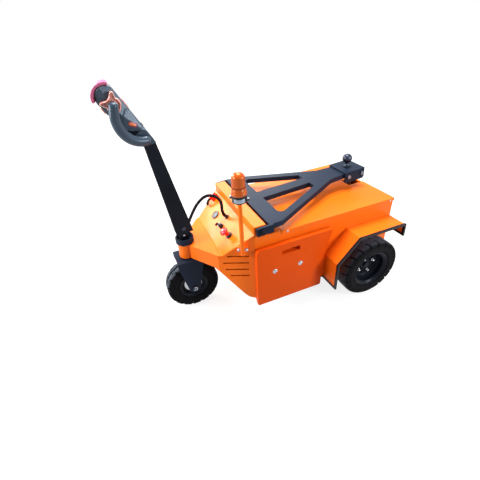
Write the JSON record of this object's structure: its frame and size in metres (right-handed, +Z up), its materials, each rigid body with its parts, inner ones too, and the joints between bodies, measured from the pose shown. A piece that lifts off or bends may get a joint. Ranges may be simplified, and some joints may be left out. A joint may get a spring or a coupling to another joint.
{
  "type": "walk-behind electric tow tug",
  "caption": "Pedestrian electric tow tug with a tiller, a steered front wheel, two driven rear wheels and a tow ball on a lifting A-frame arm.",
  "frame": {"origin": "on the floor, under the middle of the tug's bounding box", "axes": "+X forward along the tug towards the operator's end, +Y to the left, +Z up"},
  "size_m": [1.486, 0.84, 1.3613],
  "materials": {
    "orange_paint": "powder coat, semi-gloss",
    "black_paint": "satin",
    "grey_paint": "satin",
    "cast_grey": "painted casting",
    "bright_steel": "zinc plated",
    "dark_steel": "phosphated",
    "tyre_rubber": "matte",
    "black_rubber": "matte",
    "black_plastic": "fine grain",
    "slate_plastic": "fine grain",
    "red_plastic": "glossy",
    "pale_red_plastic": "satin",
    "copper_plastic": "satin",
    "orange_plastic": "satin",
    "amber_lens": "ribbed",
    "battery_case": "matte"
  },
  "bodies": {
    "chassis": {"body_shell": "orange_paint", "pivot_housing": "orange_paint", "pivot_pins": "black_paint", "lid": "orange_paint", "nose_cover": "orange_paint", "steering_head": "orange_paint", "dust_collar": "black_paint", "base_plate": "black_paint", "battery_block": "battery_case", "rear_axle": "black_paint", "gear_housing": "cast_grey", "drive_motor": "black_paint", "fender_left": "orange_paint", "fender_right": "orange_paint", "fender_trim_left": "black_rubber", "fender_trim_right": "black_rubber", "side_plate_left": "orange_paint", "side_plate_right": "orange_paint", "beacon_post": "orange_paint", "beacon_base": "black_plastic", "beacon_lens": "amber_lens", "charge_gauge": "black_plastic", "emergency_stop": "red_plastic", "key_switch": "bright_steel", "charge_plug": "red_plastic", "cable_glands": "black_plastic", "control_cable": "black_rubber"},
    "rear_wheel_left": {"rear_tyre_left": "tyre_rubber", "rear_rim_left": "black_paint"},
    "rear_wheel_right": {"rear_tyre_right": "tyre_rubber", "rear_rim_right": "black_paint"},
    "steering": {"fork": "black_paint", "tiller_bracket": "black_paint", "front_axle": "bright_steel"},
    "front_wheel": {"front_tyre": "tyre_rubber", "front_rim": "black_paint"},
    "tiller": {"tiller_arm": "black_paint", "console": "slate_plastic", "grip_left": "slate_plastic", "grip_right": "slate_plastic", "throttles": "copper_plastic", "belly_button": "pale_red_plastic", "head_buttons": "orange_plastic"},
    "hitch_arm": {"arm_frame": "black_paint", "hitch_head": "black_paint", "tow_ball": "dark_steel", "cross_pins": "dark_steel", "lift_clevis": "black_paint"},
    "lift_tube": {"lift_tube": "grey_paint"},
    "lift_rod": {"lift_rod": "bright_steel"}
  },
  "joints": [
    {"name": "rear_left_spin", "type": "hinge", "parent": "chassis", "child": "rear_wheel_left", "pos_m": [-0.55254, 0.3625, 0.189], "axis": [0, 1, 0], "continuous": true},
    {"name": "rear_right_spin", "type": "hinge", "parent": "chassis", "child": "rear_wheel_right", "pos_m": [-0.55254, -0.3625, 0.189], "axis": [0, 1, 0], "continuous": true},
    {"name": "steer", "type": "hinge", "parent": "chassis", "child": "steering", "pos_m": [0.46546, 0, 0.42], "axis": [0, 0, 1], "range_deg": [-80, 80]},
    {"name": "front_spin", "type": "hinge", "parent": "steering", "child": "front_wheel", "pos_m": [0.46546, 0, 0.163], "axis": [0, 1, 0], "continuous": true},
    {"name": "tiller_tilt", "type": "hinge", "parent": "steering", "child": "tiller", "pos_m": [0.46546, 0, 0.575], "axis": [0, 1, 0], "range_deg": [0, 70], "stiffness_Nm_per_rad": 25, "springref_deg": -28.65},
    {"name": "arm_lift", "type": "hinge", "parent": "chassis", "child": "hitch_arm", "pos_m": [0.11846, 0, 0.618], "axis": [0, 1, 0], "range_deg": [0, 15]},
    {"name": "lift_tube_swing", "type": "hinge", "parent": "chassis", "child": "lift_tube", "pos_m": [-0.67854, 0, 0.19], "axis": [0, 1, 0], "range_deg": [0, 1.32]},
    {"name": "lift_rod_slide", "type": "slide", "parent": "lift_tube", "child": "lift_rod", "axis": [0.0458, 0, 0.9989], "range_m": [0, 0.2054]}
  ],
  "couplings": [
    {"joint": "lift_tube_swing", "follows": "arm_lift", "ratio": 0.075},
    {"joint": "lift_rod_slide", "follows": "arm_lift", "m_per_rad": 0.777}
  ]
}
